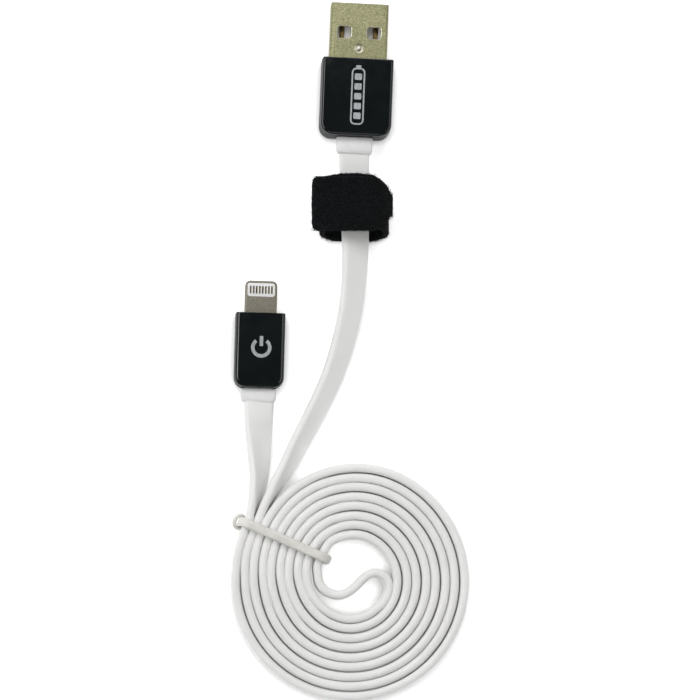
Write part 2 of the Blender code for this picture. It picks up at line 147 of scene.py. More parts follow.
def floor():
    """A white floor with painted light: it glows where nothing is near it, so that only faint shadows are
    left, and its glow dims close to things as painted shade.
    """
    bm = bmesh.new()
    bmesh.ops.create_grid(bm, x_segments=1, y_segments=1, size=1.5)
    mesh = bpy.data.meshes.new("floor")
    bm.to_mesh(mesh)
    bm.free()
    made = new_object("floor", mesh)
    made.location.z = -0.05 * MM
    white = Finish("floor", (0.82, 0.82, 0.82), 0.9, Specular_IOR_Level=0.1, Emission_Color=(1, 1, 1, 1))
    # painted shade: ambient occlusion turns the floor's glow down close to things, like a contact shadow
    open_air = white.add("ShaderNodeAmbientOcclusion", {"Distance": 2.2 * MM}).outputs["AO"]
    white.set("Emission Strength", white.between(open_air, (0.42, 0.88), (0.08, 0.60)))
    mesh.materials.append(white.material)


# Finishes

class Nodes:
    """The nodes of a material or a world."""

    def __init__(self, tree):
        self.nodes, self.links = tree.nodes, tree.links

    def feed(self, socket, value):
        """Gives a socket a plain value or another node's output."""
        if isinstance(value, bpy.types.NodeSocket):
            self.links.new(value, socket)
        else:
            socket.default_value = value

    def add(self, kind, inputs=(), **settings):
        made = self.nodes.new(kind)
        for name, value in settings.items():
            setattr(made, name, value)
        for socket, value in dict(inputs).items():
            self.feed(made.inputs[socket], value)
        return made

    def source(self, coordinates):
        return self.add("ShaderNodeTexCoord").outputs[coordinates]

    def split(self, vector, axis):
        return self.add("ShaderNodeSeparateXYZ", {0: vector}).outputs[axis]

    def ramp(self, source, *stops):
        """Colours or grey levels at places between 0 and 1."""
        made = self.add("ShaderNodeValToRGB", {0: source})
        elements = made.color_ramp.elements
        while len(elements) < len(stops):
            elements.new(0.5)
        for element, (position, value) in zip(elements, stops):
            element.position = position
            element.color = (*value, 1) if isinstance(value, tuple) else (value, value, value, 1)
        return made.outputs[0]

    def between(self, source, span, values):
        """A value that runs evenly from one to another as the source crosses the span."""
        return self.add("ShaderNodeMapRange", {"Value": source, "From Min": span[0], "From Max": span[1],
                                               "To Min": values[0], "To Max": values[1]}).outputs[0]


class Finish(Nodes):
    """A Principled material with texture nodes that vary its colour, roughness and surface."""

    def __init__(self, name, colour, roughness, metallic=0.0, **sockets):
        self.material = bpy.data.materials.new(name)
        self.material.use_nodes = True
        super().__init__(self.material.node_tree)
        self.shader = self.nodes["Principled BSDF"]
        self.set("Base Color", (*colour, 1))
        self.set("Roughness", roughness)
        self.set("Metallic", metallic)
        for socket, value in sockets.items():
            self.set(socket.replace("_", " "), value)
        self.height = None

    def set(self, socket, value):
        self.feed(self.shader.inputs[socket], value)

    def noise(self, size, detail=2.0, stretch=(1, 1, 1)):
        """Soft noise whose blotches are about that many mm across."""
        where = self.add("ShaderNodeMapping", {"Vector": self.source("Object"), "Scale": stretch}).outputs[0]
        return self.add("ShaderNodeTexNoise", {"Vector": where, "Scale": 1 / (size * MM),
                                               "Detail": detail}).outputs["Fac"]

    def colour(self, source, *stops):
        self.set("Base Color", self.ramp(source, *stops))
        return self

    def roughness(self, source, low, high):
        self.set("Roughness", self.ramp(source, (0.3, low), (0.7, high)))
        return self

    def bump(self, source, depth, strength=1.0):
        """Relief of that depth in mm, on top of any that is there already."""
        inputs = {"Height": source, "Distance": depth * MM, "Strength": strength}
        if self.height:
            inputs["Normal"] = self.height
        self.height = self.add("ShaderNodeBump", inputs).outputs[0]
        self.set("Normal", self.height)
        return self


def jacket_finish():
    made = Finish("white_jacket", (0.80, 0.80, 0.79), 0.42)
    made.colour(made.noise(7.0, 3.0), (0.3, (0.80, 0.80, 0.785)), (0.7, (0.83, 0.83, 0.82)))
    made.roughness(made.noise(3.0), 0.36, 0.48)
    return made.bump(made.noise(0.35, 4.0), 0.02, 0.35).material


def gloss_finish():
    """Polished black faces and rims, and satin side walls that also reflect less, as painted shade for the
    shaded floor close beside them.
    """
    made = Finish("black_gloss", (0.006, 0.008, 0.009), 0.10)
    made.colour(made.noise(5.0), (0.3, (0.0050, 0.0070, 0.0078)), (0.7, (0.0070, 0.0092, 0.0100)))
    upwards = made.split(made.add("ShaderNodeNewGeometry").outputs["Normal"], "Z")
    levelness = made.add("ShaderNodeMath", {0: upwards}, operation="ABSOLUTE").outputs[0]
    wall_to_face = (0.06, 0.22)
    polish = made.ramp(made.noise(2.2, 5.0), (0.3, 0.07), (0.7, 0.14))
    satin = made.between(levelness, wall_to_face, (0.42, 0.0))
    made.set("Roughness", made.add("ShaderNodeMath", {0: polish, 1: satin}, operation="ADD").outputs[0])
    # painted shade: a lower specular level on the side walls darkens their reflection of the floor next to
    # them
    made.set("Specular IOR Level", made.between(levelness, wall_to_face, (0.15, 0.5)))
    return made.bump(made.noise(0.5, 3.0), 0.004, 0.3).material


def white_plastic_finish(name, colour=(0.81, 0.81, 0.80)):
    made = Finish(name, colour, 0.4)
    dark = tuple(0.955 * value for value in colour)
    made.colour(made.noise(1.8, 4.0), (0.35, dark), (0.65, colour))
    made.roughness(made.noise(0.9), 0.32, 0.5)
    return made.bump(made.noise(0.18, 3.0), 0.012, 0.4).material


def shell_finish():
    """Bead-blasted plate with a pale olive tint: fine sparkle in both colour and surface."""
    made = Finish("olive_plate", (0.55, 0.53, 0.33), 0.45, 1.0)
    grain = made.noise(0.21, 2.0)
    made.colour(grain, (0.30, (0.195, 0.191, 0.104)), (0.52, (0.314, 0.309, 0.178)),
                (0.74, (0.460, 0.446, 0.284)))
    made.roughness(made.noise(0.4, 4.0), 0.50, 0.62)
    made.bump(made.noise(0.16, 2.0), 0.045, 0.8)
    return made.bump(made.noise(2.5), 0.02, 0.3).material


def polished_finish():
    """The same plate where punching has burnished it."""
    made = Finish("burnished_plate", (0.62, 0.60, 0.48), 0.28, 1.0)
    made.colour(made.noise(0.5, 3.0), (0.35, (0.50, 0.48, 0.37)), (0.65, (0.68, 0.66, 0.54)))
    return made.bump(made.noise(0.4, 2.0), 0.01, 0.4).material


def steel_finish():
    made = Finish("satin_steel", (0.52, 0.49, 0.40), 0.5, 1.0)
    made.colour(made.noise(0.16, 3.0), (0.3, (0.17, 0.158, 0.125)), (0.7, (0.30, 0.282, 0.235)))
    made.roughness(made.noise(0.5, 4.0), 0.42, 0.56)
    return made.bump(made.noise(0.14, 2.0), 0.035, 0.7).material


def gold_finish():
    """Gold plate, rubbed thin in streaks along the way the contacts slide."""
    made = Finish("gold_plate", (0.55, 0.38, 0.13), 0.3, 1.0)
    streaks = made.noise(0.25, 4.0, stretch=(1, 0.12, 1))
    made.colour(streaks, (0.35, (0.10, 0.070, 0.028)), (0.55, (0.22, 0.155, 0.060)),
                (0.8, (0.42, 0.35, 0.21)))
    made.roughness(streaks, 0.22, 0.42)
    return made.bump(streaks, 0.004, 0.5).material


def board_finish():
    """Green solder mask over copper tracks that run along the board."""
    made = Finish("solder_mask", (0.02, 0.16, 0.06), 0.35)
    tracks = made.add("ShaderNodeTexWave", {"Vector": made.source("Object"), "Scale": 420.0,
                                            "Distortion": 1.5},
                      wave_type="BANDS", bands_direction="X").outputs["Fac"]
    made.colour(tracks, (0.55, (0.012, 0.115, 0.040)), (0.62, (0.035, 0.230, 0.080)))
    made.bump(tracks, 0.03, 0.6)
    return made.bump(made.noise(0.3), 0.005, 0.4).material


def chip_finish():
    made = Finish("moulded_package", (0.02, 0.02, 0.02), 0.55)
    made.colour(made.noise(0.1, 4.0), (0.35, (0.014, 0.014, 0.015)), (0.65, (0.032, 0.032, 0.033)))
    return made.bump(made.noise(0.08, 2.0), 0.008, 0.6).material


def capacitor_finish():
    """Tan ceramic with a tinned cap at each end."""
    made = Finish("ceramic_block", (0.45, 0.33, 0.20), 0.45)
    along = made.split(made.source("Generated"), "Y")
    tin, clay = (0.62, 0.62, 0.60), (0.45, 0.33, 0.20)
    made.colour(along, (0.20, tin), (0.24, clay), (0.76, clay), (0.80, tin))
    return made.bump(made.noise(0.12, 2.0), 0.01, 0.5).material


def wire_finish(name, colour):
    made = Finish(name, colour, 0.35)
    pale = tuple(min(1.0, 1.25 * value + 0.01) for value in colour)
    made.colour(made.noise(0.8, 3.0), (0.35, colour), (0.65, pale))
    return made.bump(made.noise(0.3, 2.0), 0.01, 0.4).material


def tape_finish():
    """Brushed black cloth: matted dark pile with paler tufts."""
    made = Finish("black_pile_cloth", (0.010, 0.012, 0.013), 0.95, Sheen_Weight=0.02,
                  Specular_IOR_Level=0.09)
    tufts = made.noise(0.35, 5.0)
    made.colour(tufts, (0.40, (0.0022, 0.0027, 0.0031)), (0.60, (0.0080, 0.0092, 0.0098)),
                (0.76, (0.026, 0.028, 0.028)))
    made.bump(made.noise(0.22, 4.0), 0.14, 0.9)
    return made.bump(made.noise(1.1, 2.0), 0.15, 0.6).material


def fibre_finish():
    made = Finish("pile_fibre", (0.02, 0.021, 0.021), 0.8, Specular_IOR_Level=0.2)
    made.colour(made.noise(0.55, 3.0), (0.45, (0.004, 0.005, 0.0054)), (0.70, (0.009, 0.010, 0.010)),
                (0.84, (0.10, 0.10, 0.097)))
    return made.bump(made.noise(0.1), 0.01, 0.5).material


def hook_finish():
    made = Finish("hook_nylon", (0.012, 0.013, 0.014), 0.45)
    made.colour(made.noise(0.4, 3.0), (0.35, (0.009, 0.010, 0.011)), (0.65, (0.022, 0.023, 0.024)))
    return made.bump(made.noise(0.15), 0.01, 0.5).material


def tie_finish():
    """Off-white rubber, a little mottled and grubby, with a satin skin."""
    made = Finish("off_white_rubber", (0.68, 0.665, 0.615), 0.5)
    made.colour(made.noise(1.6, 5.0), (0.30, (0.62, 0.61, 0.57)), (0.52, (0.70, 0.69, 0.65)),
                (0.75, (0.75, 0.745, 0.71)))
    made.roughness(made.noise(1.0, 3.0), 0.38, 0.6)
    return made.bump(made.noise(0.3, 4.0), 0.03, 0.5).material


def print_finish():
    """Silver ink with fine strokes of the squeegee in it."""
    made = Finish("silver_ink", (0.36, 0.385, 0.395), 0.45, 0.25)
    strokes = made.noise(0.22, 3.0, stretch=(1, 0.25, 1))
    made.colour(strokes, (0.35, (0.29, 0.315, 0.325)), (0.65, (0.42, 0.445, 0.455)))
    return made.bump(strokes, 0.004, 0.5).material


JACKET = jacket_finish()
GLOSS = gloss_finish()
WHITE = white_plastic_finish("white_plastic")
COLLAR = white_plastic_finish("white_collar", (0.80, 0.80, 0.795))
OLIVE_PLATE = shell_finish()
BURNISHED = polished_finish()
STEEL = steel_finish()
GOLD = gold_finish()
TAPE = tape_finish()
FIBRE = fibre_finish()
HOOK = hook_finish()
RUBBER = tie_finish()
INK = print_finish()


# Building

def finish_object(name, mesh, material, body, replaces=(), sharp=35):
    """The mesh as a piece: smooth but for its real edges, painted, and riding on its body."""
    mesh.shade_smooth()
    mesh.set_sharp_from_angle(angle=math.radians(sharp))
    mesh.materials.clear()
    mesh.materials.append(material)
    made = new_object(name, mesh)
    if body:
        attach(made, body)
    if replaces:
        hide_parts(*replaces)
    return made


def settle(mesh, matrix):
    """Moves a mesh to its plug and turns its faces outwards."""
    mesh.transform(matrix)
    bm = bmesh.new()
    bm.from_mesh(mesh)
    bmesh.ops.recalc_face_normals(bm, faces=bm.faces)
    bm.to_mesh(mesh)
    bm.free()


def solid(name, points, faces, matrix=Matrix()):
    mesh = bpy.data.meshes.new(name)
    mesh.from_pydata([tuple(point) for point in points], [], faces)
    settle(mesh, matrix)
    return mesh


def skin(name, rings, cyclic=False, matrix=Matrix()):
    """A closed surface through rings that all have the same number of points. Its ends are filled, or, if it
    is cyclic, its last ring joins its first."""
    count, total = len(rings[0]), len(rings)
    faces = []
    for i in range(total if cyclic else total - 1):
        here, there = i * count, (i + 1) % total * count
        faces += [(here + k, here + (k + 1) % count, there + (k + 1) % count, there + k)
                  for k in range(count)]
    if not cyclic:
        faces.append(tuple(range(count))[::-1])
        faces.append(tuple(range((total - 1) * count, total * count)))
    return solid(name, [point for ring in rings for point in ring], faces, matrix)


def join(name, meshes):
    """Several meshes as one."""
    bm = bmesh.new()
    for mesh in meshes:
        bm.from_mesh(mesh)
        bpy.data.meshes.remove(mesh)
    made = bpy.data.meshes.new(name)
    bm.to_mesh(made)
    bm.free()
    return made


def cut(mesh, *cutters):
    """The mesh without what the cutters fill."""
    body = new_object("cut_body", mesh)
    tools = [new_object("cut_tool", cutter) for cutter in cutters]
    for tool in tools:
        modifier = body.modifiers.new("cut", "BOOLEAN")
        modifier.operation = "DIFFERENCE"
        modifier.object = tool
    bpy.context.view_layer.update()
    made = bpy.data.meshes.new_from_object(body.evaluated_get(bpy.context.evaluated_depsgraph_get()))
    for thing in (body, *tools):
        data = thing.data
        bpy.data.objects.remove(thing)
        bpy.data.meshes.remove(data)
    return made


def arc(middle, half_width, half_depth, degrees):
    """Points of a circle or an ellipse, at those angles."""
    turns = [math.radians(angle) for angle in degrees]
    return [(middle[0] + half_width * math.cos(turn), middle[1] + half_depth * math.sin(turn))
            for turn in turns]


def outline(width, depth, radii, inset=0.0, middle=(0.0, 0.0), steps=8):
    """A rectangle with round corners, drawn counterclockwise from its upper right corner. radii go the same
    way round, or are one for all; an inset moves the whole outline inwards."""
    right, top = width / 2 - inset, depth / 2 - inset
    radii = radii if isinstance(radii, tuple) else (radii,) * 4
    points = []
    for (sx, sy), radius, start in zip(((1, 1), (-1, 1), (-1, -1), (1, -1)), radii, (0, 90, 180, 270)):
        radius = max(radius - inset, 0.02)
        centre = (middle[0] + sx * (right - radius), middle[1] + sy * (top - radius))
        points += arc(centre, radius, radius, [start + 90 * i / steps for i in range(steps + 1)])
    return points


def level(shape, z):
    """An outline drawn in x and y, at that z."""
    return [(x, y, z) for x, y in shape]


def upright(shape, y):
    """An outline drawn in x and z, at that y."""
    return [(x, y, z) for x, z in shape]


def slab(shape, low, high):
    """An outline drawn in x and y, made solid from one z to another."""
    return skin("slab", [level(shape, low), level(shape, high)])


def rounding(radius, steps):
    """(inset, rise) pairs round an edge, from the side to the top."""
    angles = [math.radians(90.0 * i / steps) for i in range(steps + 1)]
    return [(radius * (1 - math.cos(a)), radius * (math.sin(a) - 1)) for a in angles]


def sweep(name, frames, section, cyclic=False):
    """A section, drawn in (across, up), carried along frames of (origin, across, up, width scale, height
    scale)."""
    rings = [[origin + across * (a * wide) + up * (b * high) for a, b in section]
             for origin, across, up, wide, high in frames]
    return skin(name, rings, cyclic)


def neighbours(line, i, closed=False):
    """The points before and after a point of the line."""
    if closed:
        return line[i - 1], line[(i + 1) % len(line)]
    return line[max(i - 1, 0)], line[min(i + 1, len(line) - 1)]


def spaced(line, spacing, closed=False):
    """The line with points about that far apart."""
    made = []
    for a, b in zip(line, line[1:] + line[:1] if closed else line[1:]):
        pieces = max(1, round(math.dist(a, b) / spacing))
        made += [(a[0] + (b[0] - a[0]) * i / pieces, a[1] + (b[1] - a[1]) * i / pieces)
                 for i in range(pieces)]
    return made if closed else made + [line[-1]]


def smooth_line(points, spacing):
    """Points about that many mm apart along a Catmull-Rom curve through the given ones, whose first two
    values are x and y in mm."""
    line = []
    last = len(points) - 1
    for i in range(last):
        before, start, end, after = (points[max(i - 1, 0)], points[i], points[i + 1],
                                     points[min(i + 2, last)])
        steps = max(1, round(math.dist(start[:2], end[:2]) / spacing))
        for k in range(steps):
            t = k / steps
            line.append(tuple(
                0.5 * (2 * b + (c - a) * t + (2 * a - 5 * b + 4 * c - d) * t * t
                       + (3 * b - a - 3 * c + d) * t ** 3)
                for a, b, c, d in zip(before, start, end, after)))
    return line + [points[-1]]


def smooth_step(t):
    t = min(1.0, max(0.0, t))
    return t * t * (3 - 2 * t)


# The cable: one flat cord from plug to plug, in mm from the middle of the coil

CABLE_WIDTH = 6.3
CABLE_THICK = 1.80
CABLE_EDGE = 0.80
CABLE_SAMPLE = 0.65

# x, y, the turn in degrees from lying flat to standing on edge, and how far it is held up
USB_TAIL = (
    (0.93, 88.2, 0, 2.85), (0.97, 85.0, 2, 2.30), (1.05, 81.2, 8, 1.65), (1.12, 77.2, 17, 1.45),
    (1.17, 73.4, 26, 1.45), (1.18, 69.8, 31, 1.45), (1.10, 66.2, 34, 1.35), (0.90, 62.4, 38, 1.00),
    (0.50, 58.4, 41, 0.60), (-0.20, 54.2, 44, 0.25), (-1.20, 50.1, 47, 0.05), (-2.45, 45.9, 51, 0),
    (-3.95, 41.8, 54, 0), (-5.85, 37.6, 57, 0), (-7.95, 33.4, 59, 0), (-10.10, 29.3, 61, 0),
    (-12.25, 25.1, 65, 0), (-13.10, 23.4, 67, 0),
)
USB_MERGE = (
    (-14.55, 20.9, 72, 0), (-16.05, 18.2, 78, 0), (-17.45, 15.6, 84, 0), (-18.6, 13.2, 88, 0),
)
PHONE_TAIL = (
    (-18.80, 36.6, 4, 2.10), (-18.80, 33.9, 20, 1.50), (-18.80, 31.4, 27, 0.95), (-18.75, 28.6, 37, 0.45),
    (-18.72, 26.0, 45, 0.20), (-18.70, 23.4, 53, 0.05), (-18.80, 20.9, 60, 0), (-19.25, 18.2, 68, 0),
)
PHONE_MERGE = (
    (-19.80, 15.9, 77, 0), (-20.40, 13.9, 84, 0),
)
CENTER_BEND = (
    (-5.87, 5.48), (-6.80, 3.10), (-6.72, 1.50), (-6.41, -0.40), (-5.14, -2.00), (-2.75, -2.87),
    (-0.83, -2.48), (0.92, -1.21), (2.52, 0.40), (3.93, 1.44), (5.37, 1.71), (6.80, 1.19), (7.68, 0.08),
    (8.01, -1.35), (7.59, -2.95), (6.64, -4.53),
)

# The coil: two strands side by side, each drawn in by one double pitch as it passes the upper left
COIL_START, COIL_PITCH, STRAND_STEP = 23.65, 3.97, 2.07
JOG_START, JOG_LENGTH, JOG_GROWTH = 65.0, 135.0, 15.0
OUTER_STRAND_END = 1749.0       # degrees run by the strand from the phone plug
INNER_STRAND_END = 1560.0
COIL_ANGLE_STEP = 6.0
COIL_FROM = 150                 # the tails join the coil here, at the angles and radii in ENTRY
ENTRY = {150: (24.20, 22.45), 160: (23.86, 22.12), 170: (23.72, 21.98)}
CROWDED = 0.18                  # how much nearer the strands lie to each other in the tie


def strand_point(angle, inner):
    """A point of a strand of the coil, standing on edge, after it has run that far round."""
    turns = sum(smooth_step((angle - JOG_START - 360 * (k + 1)) / (JOG_LENGTH + JOG_GROWTH * k))
                for k in range(4))
    radius = COIL_START - COIL_PITCH * turns
    crowded = smooth_step((angle % 360 - 95) / 20) * (1 - smooth_step((angle % 360 - 165) / 25))
    if inner:
        radius -= STRAND_STEP - CROWDED * crowded
    if angle in ENTRY:
        radius = ENTRY[angle][inner]
    turn = math.radians(angle)
    return (radius * math.cos(turn), radius * math.sin(turn), 90, 0)


def strand(end, inner):
    """A strand from where its tail joins the coil to where it leaves the innermost turn."""
    steps = int((end - COIL_FROM) // COIL_ANGLE_STEP)
    angles = [*ENTRY] + [COIL_FROM + COIL_ANGLE_STEP * i for i in range(5, steps + 1)] + [end]
    return [strand_point(angle, inner) for angle in angles]


# The tie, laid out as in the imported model
TIE_WIDTH, TIE_THICK = 1.85, 1.15
TIE_OUTER_END, TIE_INNER_END = Vector((-22.55, 12.20)), Vector((-4.60, 4.31))
TIE_ALONG = TIE_INNER_END - TIE_OUTER_END
TIE_GAP = 0.3
LIFT = TIE_THICK + TIE_GAP
LIFT_FLAT, LIFT_FADE = 4.0, 16.0


def lift_at(x, y):
    """How far the cable is raised by the tie that passes under it."""
    here = Vector((x, y))
    share = min(1, max(0, (here - TIE_OUTER_END).dot(TIE_ALONG) / TIE_ALONG.length_squared))
    away = (here - TIE_OUTER_END - share * TIE_ALONG).length
    return LIFT * (1 - smooth_step((away - LIFT_FLAT) / LIFT_FADE))


def cable_route():
    """The whole cord's points, from the USB plug's collar to the phone plug's: x, y, turn and held."""
    centre = [(x, y, 90, 0) for x, y in CENTER_BEND]
    from_usb = list(USB_TAIL + USB_MERGE) + strand(INNER_STRAND_END, True)
    from_phone = list(PHONE_TAIL + PHONE_MERGE) + strand(OUTER_STRAND_END, False)
    to_phone = [(x, y, 180 - turn, held) for x, y, turn, held in from_phone[::-1]]
    return smooth_line(from_usb + centre + to_phone, CABLE_SAMPLE)


def cable_height(x, y, turn, held):
    """The middle of the cable where its lowest edge rests on the floor, or on the tie."""
    flat_w, flat_t = CABLE_WIDTH / 2 - CABLE_EDGE, CABLE_THICK / 2 - CABLE_EDGE
    lowest = flat_w * abs(math.sin(turn)) + flat_t * abs(math.cos(turn)) + CABLE_EDGE
    return lowest + lift_at(x, y) + held


def cable():
    """The cord as one piece, with its ends in the collars, and its path."""
    route = [(x, y, math.radians(turn), held) for x, y, turn, held in cable_route()]
    path = [place(x, y, cable_height(x, y, turn, held)) for x, y, turn, held in route]
    frames = []
    for i, (origin, (_, _, turn, _)) in enumerate(zip(path, route)):
        before, after = neighbours(path, i)
        ahead = after - before
        side = Vector((ahead.x, ahead.y, 0)).normalized().cross(UP)
        across = side * math.cos(turn) + UP * math.sin(turn)
        frames.append((origin, across, across.cross(ahead.normalized()), MM, MM))
    into_collar = 0.9 * MM
    for end, inner in ((0, 1), (-1, -2)):
        origin, across, up, wide, high = frames[end]
        outwards = (path[end] - path[inner]).normalized()
        frames.insert(0 if end == 0 else len(frames),
                      (origin + outwards * into_collar, across, up, wide, high))
    section = outline(CABLE_WIDTH, CABLE_THICK, CABLE_EDGE, steps=5)
    made = finish_object("flat_cable", sweep("flat_cable", frames, section), JACKET, "cable",
                         ("cable_usb_tail", "cable_coil", "cable_center_bend", "cable_phone_tail"))
    return made, path


# The tie

TIE_BEND = 2.2
TIE_TOP = CABLE_WIDTH + LIFT + TIE_GAP + TIE_THICK / 2
EYE_LONG, EYE_DEEP, EYE_TILT, EYE_HEIGHT = 1.38, 1.30, 42.0, 2.6


def coil_tie():
    """A band over the turns and back under them, and the eye at its end that the band is drawn through."""
    along = TIE_ALONG.normalized()
    ahead, side = Vector((*along, 0)), Vector((-along.y, along.x, 0))
    start = place(*TIE_OUTER_END)
    run, low = TIE_ALONG.length, TIE_THICK / 2
    loop = outline(run, TIE_TOP - low, TIE_BEND, middle=(run / 2, (TIE_TOP + low) / 2), steps=12)
    loop = spaced(loop, 0.6, closed=True)
    frames = []
    for i, (x, z) in enumerate(loop):
        (x0, z0), (x1, z1) = neighbours(loop, i, closed=True)
        run_on = (ahead * (x1 - x0) + UP * (z1 - z0)).normalized()
        frames.append((start + ahead * (x * MM) + UP * (z * MM), side, run_on.cross(side), MM, MM))
    band = sweep("tie_band", frames, outline(TIE_WIDTH, TIE_THICK, 0.565, steps=6), cyclic=True)
    tilt = math.radians(EYE_TILT)
    out = -ahead * math.cos(tilt) + UP * math.sin(tilt)
    middle = start - ahead * (0.25 * MM) + UP * (EYE_HEIGHT * MM)
    eye = []
    for a, b in arc((0, 0), EYE_LONG, EYE_DEEP, range(0, 360, 9)):
        radial = side * a + out * b
        eye.append((middle + radial * MM, radial.normalized(), side.cross(out), MM, MM))
    ring = sweep("tie_eye", eye, outline(0.80, 0.90, 0.38, steps=4), cyclic=True)
    finish_object("rubber_tie", join("rubber_tie", [band, ring]), RUBBER, "coil_tie",
                  ("coil_tie",))


# The strap

TAPE_WIDTH, TAPE_THICK = 11.15, 1.0
TAPE_STEP = 0.42                # between the points of a tape
STRAP_Y = 78.4
STRAP_LEFT, STRAP_RIGHT, STRAP_TOP, STRAP_CORNER = -6.3, 8.1, 8.4, 3.8
PRESSED_IN = 0.35               # how far the second layer sinks into the first one's pile on the right
LOOP_LEAN = 0.20                # how far the loop's underside hangs back, for each mm down
LOOP_SAG, LOOP_PULL = 0.6, 0.75         # how much further back its floor and its right side are
OUTER_LOW, OUTER_BACK = 3.0, 0.60       # the second layer's lower end, and how far back it lies
FLAP_HINGE_X = -2.6
FLAP_DROOP = ((-4.2, 9.0), (-5.7, 8.75), (-7.1, 8.25), (-8.0, 7.6))
FLAP_CORNER = 1.3
TONGUE_WIDTH = 0.38             # the second layer starts as a tongue with this share of its full width
TONGUE_START, TONGUE_END = 1.6, 8.6
HOOK_THICK, HOOKS_ACROSS = 0.35, 24
LOWEST_TAPE, LOWEST_FIBRE = 0.02, 0.05
FIBRE_STEPS = 5
EDGE_SHARE, LOOSE_SHARE = 0.24, 0.12    # of the fibres: standing on the tape's edges, and loose


def tape_frames(line, closed, shift, narrow=None):
    """Frames along a line drawn in x and z. shift(x, z) moves the tape along y, and narrow(i) gives its
    share of the full width and thickness there."""
    frames = []
    across = Vector((0, 1, 0))
    for i, (x, z) in enumerate(line):
        (x0, z0), (x1, z1) = neighbours(line, i, closed)
        run_on = Vector((x1 - x0, 0, z1 - z0)).normalized()
        wide, high = narrow(i) if narrow else (1.0, 1.0)
        origin = place(x, STRAP_Y + shift(x, z), z)
        frames.append((origin, across, run_on.cross(across), wide * MM, high * MM))
    return frames


def tape_section():
    """The tape's section with many points across it, so that its face can be ruffled."""
    return spaced(outline(TAPE_WIDTH, TAPE_THICK, 0.42, steps=3), TAPE_STEP, closed=True)


def ruffle(mesh, depth=0.09, size=0.9):
    """Moves each point in or out by smooth noise, like matted pile, and keeps it above the floor."""
    normals = [vertex.normal.copy() for vertex in mesh.vertices]
    for vertex, normal in zip(mesh.vertices, normals):
        here = vertex.co / (size * MM)
        bump = noise.noise(here) + 0.5 * noise.noise(2.3 * here)
        vertex.co += normal * (depth * MM * bump)
        vertex.co.z = max(vertex.co.z, LOWEST_TAPE * MM)
        vertex.co.y += 0.10 * MM * noise.noise(vertex.co / (2.6 * MM))


def pile(name, frames, count, sides, seed):
    """Loops and loose ends of fibre standing on a tape: each is a thin three-sided tube that arches out of
    the face, or out of an edge, and back. sides are the faces it stands on, 1 or -1 along the frames' up.
    Fibres that would go into the floor are left out."""
    rng = random.Random(seed)
    points, faces = [], []
    while len(points) < count * FIBRE_STEPS * 3:
        index = rng.randrange(1, len(frames) - 1)
        origin, across, up, wide, high = frames[index]
        ahead = up.cross(across)
        if rng.random() < EDGE_SHARE:
            edge = rng.choice((-1, 1))
            base = origin + across * (edge * TAPE_WIDTH / 2 * wide) + up * (rng.uniform(-0.4, 0.4) * high)
            out = (across * edge + up * rng.uniform(-0.4, 0.6)).normalized()
        else:
            face = rng.choice(sides)
            base = (origin + across * (rng.uniform(-0.49, 0.49) * TAPE_WIDTH * wide)
                    + up * (face * TAPE_THICK / 2 * high))
            out = (up * face + across * rng.uniform(-0.25, 0.25)).normalized()
        heading = rng.uniform(0, 2 * math.pi)
        flat = across * math.cos(heading) + ahead * math.sin(heading)
        flat = (flat - out * flat.dot(out)).normalized()
        reach = rng.uniform(0.35, 0.95) * MM
        rise = rng.uniform(0.06, 0.20) * MM
        loose = rng.random() < LOOSE_SHARE
        thick = rng.uniform(0.016, 0.030) * MM
        side = out.cross(flat)
        bend = side * rng.uniform(-0.3, 0.3) * MM
        fibre = []
        for k in range(FIBRE_STEPS):
            t = k / (FIBRE_STEPS - 1)
            height = rise * (1.4 * t if loose else 4 * t * (1 - t)) - 0.05 * MM * (1 - t)
            fibre.append(base + flat * (reach * t) + out * height + bend * (t * t))
        if min(centre.z for centre in fibre) < LOWEST_FIBRE * MM:
            continue
        start = len(points)
        for centre in fibre:
            for corner in range(3):
                a = 2 * math.pi * corner / 3
                points.append(centre + side * (thick * math.cos(a)) + out * (thick * math.sin(a)))
        for k in range(FIBRE_STEPS - 1):
            here, there = start + 3 * k, start + 3 * (k + 1)
            faces += [(here + c, here + (c + 1) % 3, there + (c + 1) % 3, there + c) for c in range(3)]
        tip = start + 3 * (FIBRE_STEPS - 1)
        faces += [(start + 2, start + 1, start), (tip, tip + 1, tip + 2)]
    return solid(name, points, faces)


def pile_tape(name, frames, closed, body, nodes, count, sides, seed):
    """A tape through the frames, and the pile that stands on it: two pieces."""
    mesh = sweep(f"{name}_tape", frames, tape_section(), cyclic=closed)
    ruffle(mesh)
    tape = finish_object(f"{name}_tape", mesh, TAPE, body, nodes, sharp=70)
    fibres = pile(f"{name}_pile", frames, count, sides, seed)
    return tape, finish_object(f"{name}_pile", fibres, FIBRE, body, sharp=70)


def strap_loop():
    """The inner turn of the tape, closed round the cable."""
    middle = ((STRAP_LEFT + STRAP_RIGHT) / 2, STRAP_TOP / 2)
    line = outline(STRAP_RIGHT - STRAP_LEFT, STRAP_TOP, STRAP_CORNER, TAPE_THICK / 2, middle, steps=7)
    line = spaced(line, TAPE_STEP, closed=True)

    def drawn_in(x):
        return smooth_step((x - 4.0) / 4.0)

    def shift(x, z):
        sag = LOOP_SAG * smooth_step((2.5 - z) / 2.0) * (1 - ((x - 0.8) / 7.2) ** 2)
        bow = 0.010 * (x - 0.6) ** 2
        return 0.30 - LOOP_LEAN * (STRAP_TOP - z) - bow - LOOP_PULL * drawn_in(x) - sag

    frames = tape_frames(line, True, shift, lambda i: (1 - 0.13 * drawn_in(line[i][0]), 1.0))
    loop, fuzz = pile_tape("strap_loop", frames, True, "strap", ("strap_loop",), 2600, (1, -1), 11)


